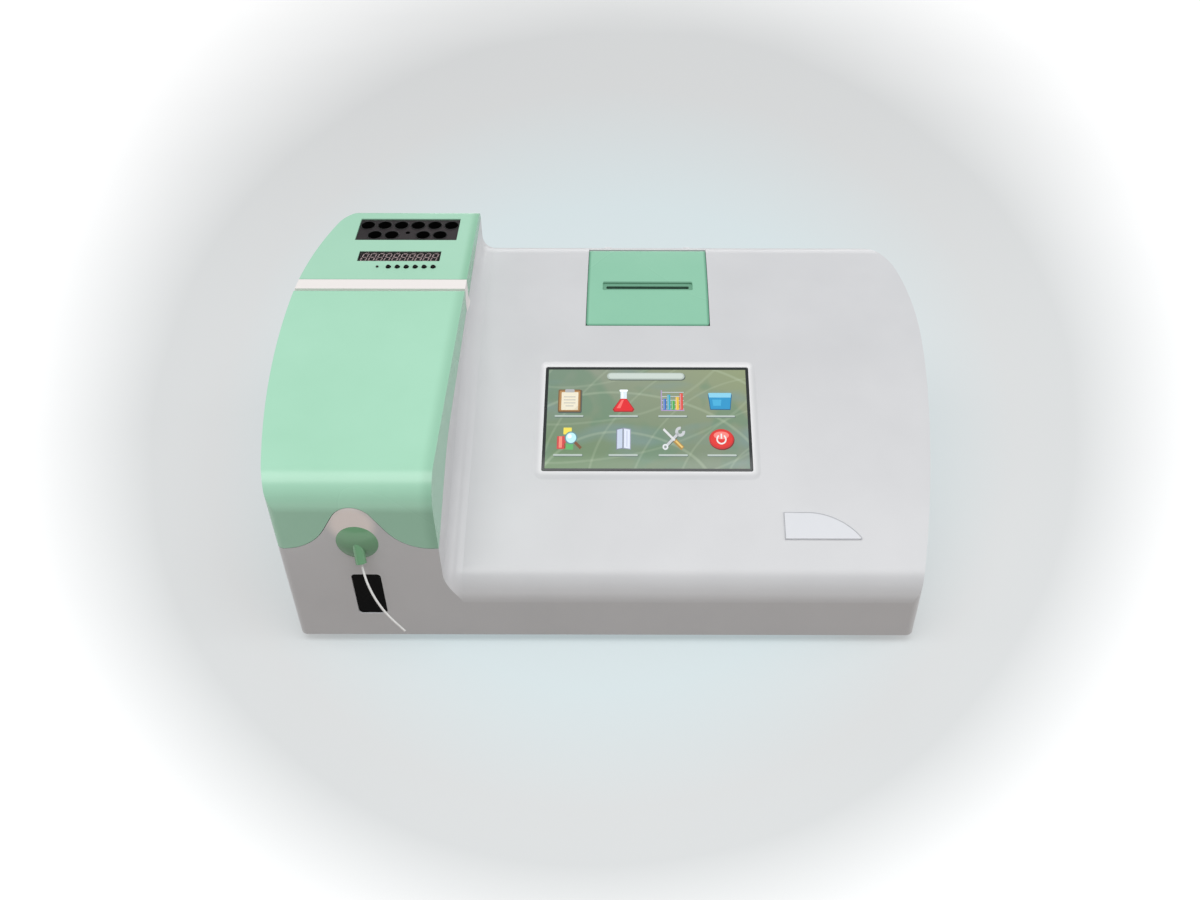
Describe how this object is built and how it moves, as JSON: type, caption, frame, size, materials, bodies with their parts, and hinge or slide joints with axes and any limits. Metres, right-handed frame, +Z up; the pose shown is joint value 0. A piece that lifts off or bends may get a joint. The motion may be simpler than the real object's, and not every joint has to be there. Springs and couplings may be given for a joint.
{
  "type": "benchtop chemistry analyzer",
  "caption": "Benchtop photometric analyzer with sloping screen deck, hinged sample cover, tube incubator with timer, built-in strip printer and a front sipper tube.",
  "frame": {"origin": "on the bench under the middle of the case", "axes": "+Z up, the front with the sipper and the key faces -Y, +X to the right seen from the front"},
  "size_m": [0.5, 0.3538, 0.1932],
  "materials": {
    "case_grey": "fine texture, light grey",
    "mint_green": "smooth satin, mint green",
    "black_plastic": "fine texture, black",
    "black_rubber": "moulded",
    "screw_steel": "plated",
    "sheet_steel": "zinc plated sheet",
    "clear_glass": "polished",
    "smoked_lens": "polished",
    "board_green": "solder mask",
    "white_foam": "soft silicone",
    "heater_film": "film",
    "lamp_glass": "clear",
    "aluminium": "anodised",
    "white_paper": "thermal paper",
    "badge_silver": "silver lacquer",
    "tube_white": "translucent",
    "connector_steel": "tinned",
    "lamp_red": "clear red"
  },
  "bodies": {
    "base": {"top_shell": "case_grey", "hinge_pins": "screw_steel", "incubator_panel": "mint_green", "base_tray": "sheet_steel", "rubber_feet": "black_rubber", "tray_screws": "screw_steel", "bay_floor": "sheet_steel", "incubator_block": "black_plastic", "incubator_jacket": "white_foam", "incubator_heater": "heater_film", "timer_lens": "smoked_lens", "timer_display": "black_plastic", "timer_board": "board_green", "timer_lamp": "lamp_red", "touch_glass": "clear_glass", "screen_gasket": "black_rubber", "display_module": "black_plastic", "display_bracket": "sheet_steel", "blank_badge": "badge_silver", "printer_frame": "black_plastic", "paper_spindle": "aluminium", "print_head": "black_plastic", "key_housing": "black_plastic", "key_switch": "black_plastic", "sipper_nozzle": "mint_green", "sipper_tube": "tube_white", "pump_motor": "sheet_steel", "pump_head": "black_plastic", "pump_tube": "tube_white", "optical_bench": "aluminium", "lamp_housing": "sheet_steel", "halogen_lamp": "lamp_glass", "lens_tube": "aluminium", "wheel_motor": "sheet_steel", "flow_cell": "aluminium", "photo_detector": "board_green", "power_supply": "board_green", "main_board": "board_green", "rear_plate": "sheet_steel", "mains_inlet": "black_plastic", "switch_housing": "black_plastic", "fan_frame": "black_plastic", "serial_port": "connector_steel", "usb_port": "connector_steel", "waste_outlet": "black_plastic"},
    "sample_cover": {"sample_cover": "mint_green"},
    "printer_cover": {"printer_cover": "mint_green"},
    "aspirate_key": {"aspirate_key": "black_plastic"},
    "power_rocker": {"power_rocker": "black_plastic"},
    "paper_roll": {"paper_roll": "white_paper"},
    "platen_roller": {"platen_roller": "black_rubber"},
    "pump_rotor": {"pump_rotor": "case_grey"},
    "filter_wheel": {"filter_wheel": "aluminium"},
    "fan_rotor": {"fan_rotor": "black_plastic"},
    "timer_button_1": {"timer_button_1": "black_plastic"},
    "timer_button_2": {"timer_button_2": "black_plastic"},
    "timer_button_3": {"timer_button_3": "black_plastic"},
    "timer_button_4": {"timer_button_4": "black_plastic"},
    "timer_button_5": {"timer_button_5": "black_plastic"},
    "timer_button_6": {"timer_button_6": "black_plastic"}
  },
  "joints": [
    {"name": "sample_cover_hinge", "type": "hinge", "parent": "base", "child": "sample_cover", "pos_m": [-0.18, 0.0446, 0.17635], "axis": [-1, 0, 0], "range_deg": [0, 75]},
    {"name": "printer_cover_hinge", "type": "hinge", "parent": "base", "child": "printer_cover", "pos_m": [0.0304, 0.1362, 0.16346], "axis": [-1, 0, 0], "range_deg": [0, 80]},
    {"name": "aspirate_key_press", "type": "slide", "parent": "base", "child": "aspirate_key", "axis": [0, 1, 0], "range_m": [0, 0.0025], "stiffness_N_per_m": 600, "springref_m": -0.001},
    {"name": "power_rocker_tilt", "type": "hinge", "parent": "base", "child": "power_rocker", "pos_m": [0.098, 0.15253, 0.049], "axis": [1, 0, 0], "range_deg": [0, 12]},
    {"name": "paper_roll_spin", "type": "hinge", "parent": "base", "child": "paper_roll", "pos_m": [0.0304, 0.097, 0.12097], "axis": [1, 0, 0], "continuous": true},
    {"name": "platen_roller_spin", "type": "hinge", "parent": "base", "child": "platen_roller", "pos_m": [0.0304, 0.0625, 0.13199], "axis": [1, 0, 0], "continuous": true},
    {"name": "pump_rotor_spin", "type": "hinge", "parent": "base", "child": "pump_rotor", "pos_m": [-0.178, -0.072, 0.098], "axis": [0, 0, 1], "continuous": true},
    {"name": "filter_wheel_spin", "type": "hinge", "parent": "base", "child": "filter_wheel", "pos_m": [-0.063, 0.0555, 0.052], "axis": [0, 1, 0], "continuous": true},
    {"name": "fan_rotor_spin", "type": "hinge", "parent": "base", "child": "fan_rotor", "pos_m": [0.052, 0.148, 0.049], "axis": [0, 1, 0], "continuous": true},
    {"name": "timer_button_1_press", "type": "slide", "parent": "base", "child": "timer_button_1", "axis": [0, 0.1223, -0.9925], "range_m": [0, 0.0005], "stiffness_N_per_m": 2000, "springref_m": -0.0003},
    {"name": "timer_button_2_press", "type": "slide", "parent": "base", "child": "timer_button_2", "axis": [0, 0.1223, -0.9925], "range_m": [0, 0.0005], "stiffness_N_per_m": 2000, "springref_m": -0.0003},
    {"name": "timer_button_3_press", "type": "slide", "parent": "base", "child": "timer_button_3", "axis": [0, 0.1223, -0.9925], "range_m": [0, 0.0005], "stiffness_N_per_m": 2000, "springref_m": -0.0003},
    {"name": "timer_button_4_press", "type": "slide", "parent": "base", "child": "timer_button_4", "axis": [0, 0.1223, -0.9925], "range_m": [0, 0.0005], "stiffness_N_per_m": 2000, "springref_m": -0.0003},
    {"name": "timer_button_5_press", "type": "slide", "parent": "base", "child": "timer_button_5", "axis": [0, 0.1223, -0.9925], "range_m": [0, 0.0005], "stiffness_N_per_m": 2000, "springref_m": -0.0003},
    {"name": "timer_button_6_press", "type": "slide", "parent": "base", "child": "timer_button_6", "axis": [0, 0.1223, -0.9925], "range_m": [0, 0.0005], "stiffness_N_per_m": 2000, "springref_m": -0.0003}
  ]
}
